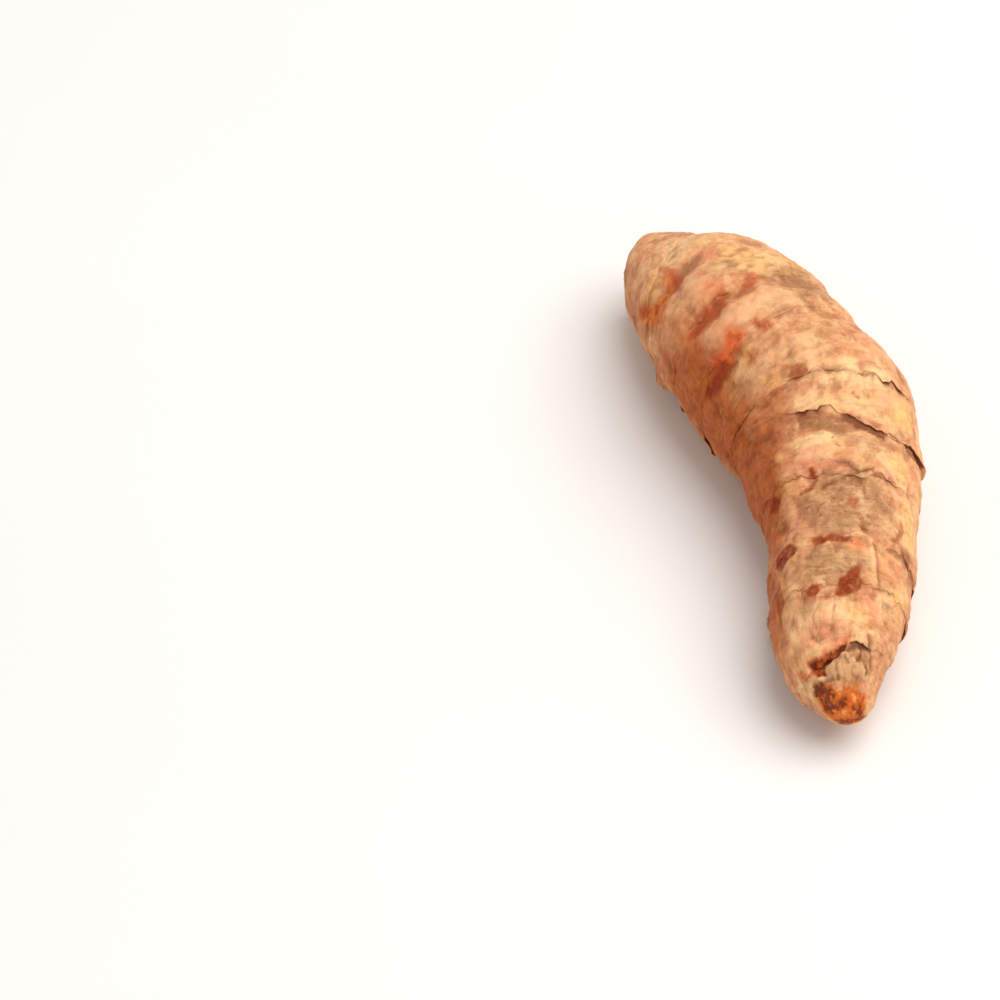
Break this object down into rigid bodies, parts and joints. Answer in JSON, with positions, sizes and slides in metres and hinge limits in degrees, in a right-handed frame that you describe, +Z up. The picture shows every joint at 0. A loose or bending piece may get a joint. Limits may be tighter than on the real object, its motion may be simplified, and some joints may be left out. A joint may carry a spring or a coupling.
{
  "type": "turmeric root",
  "caption": "Fresh turmeric finger: a curved, tapering root with overlapping skin rings, side buds, a growing tip and a broken end; lies on its belly as food or still-life dressing.",
  "frame": {"origin": "middle of the root's box, at the surface that it lies on", "axes": "+Y towards the broken end, -Y towards the growing tip, +Z up, +X to the outer side of the bend"},
  "size_m": [0.0332, 0.075, 0.0221],
  "materials": {
    "skin": "matt, thin papery root skin with rings, fine wrinkles and torn orange patches"
  },
  "bodies": {
    "root": {"rhizome": "skin"}
  },
  "joints": []
}
